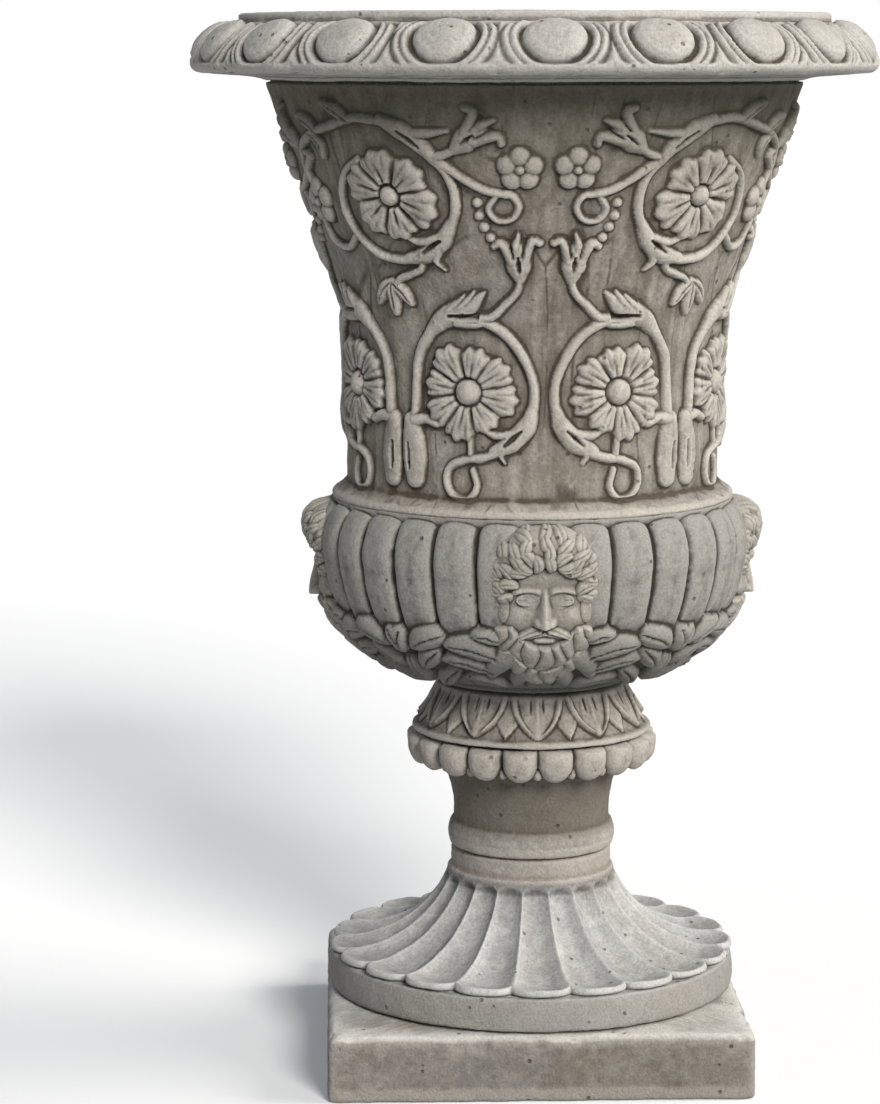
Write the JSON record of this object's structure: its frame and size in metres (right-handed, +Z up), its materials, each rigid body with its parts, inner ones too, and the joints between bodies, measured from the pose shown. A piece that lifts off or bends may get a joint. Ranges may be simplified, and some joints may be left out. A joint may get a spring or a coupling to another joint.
{
  "type": "garden urn planter",
  "caption": "Cast stone campana urn for plants, with egg-and-dart rim, scroll frieze, gadrooned bowl with masks and fluted foot on a square plinth.",
  "frame": {"origin": "centre of the plinth's underside, on the floor", "axes": "+Z up along the urn's axis, front mask towards -Y, the viewer's right +X"},
  "size_m": [0.623, 0.623, 0.955],
  "materials": {
    "cast_stone": "matt, weathered",
    "bedding_mortar": "matt",
    "galvanised_steel": "dull zinc"
  },
  "bodies": {
    "base": {"plinth": "cast_stone", "bed_foot": "bedding_mortar", "fluted_foot": "cast_stone", "bed_stem": "bedding_mortar", "stem": "cast_stone", "bed_bowl": "bedding_mortar", "drain_pipe": "galvanised_steel"},
    "urn": {"bowl": "cast_stone", "mask_front": "cast_stone", "mask_right": "cast_stone", "mask_back": "cast_stone", "mask_left": "cast_stone", "bed_bell": "bedding_mortar", "bell": "cast_stone", "bed_rim": "bedding_mortar", "rim": "cast_stone"}
  },
  "joints": [
    {"name": "urn_lift", "type": "slide", "parent": "base", "child": "urn", "axis": [0, 0, 1], "range_m": [0, 0.06]}
  ]
}
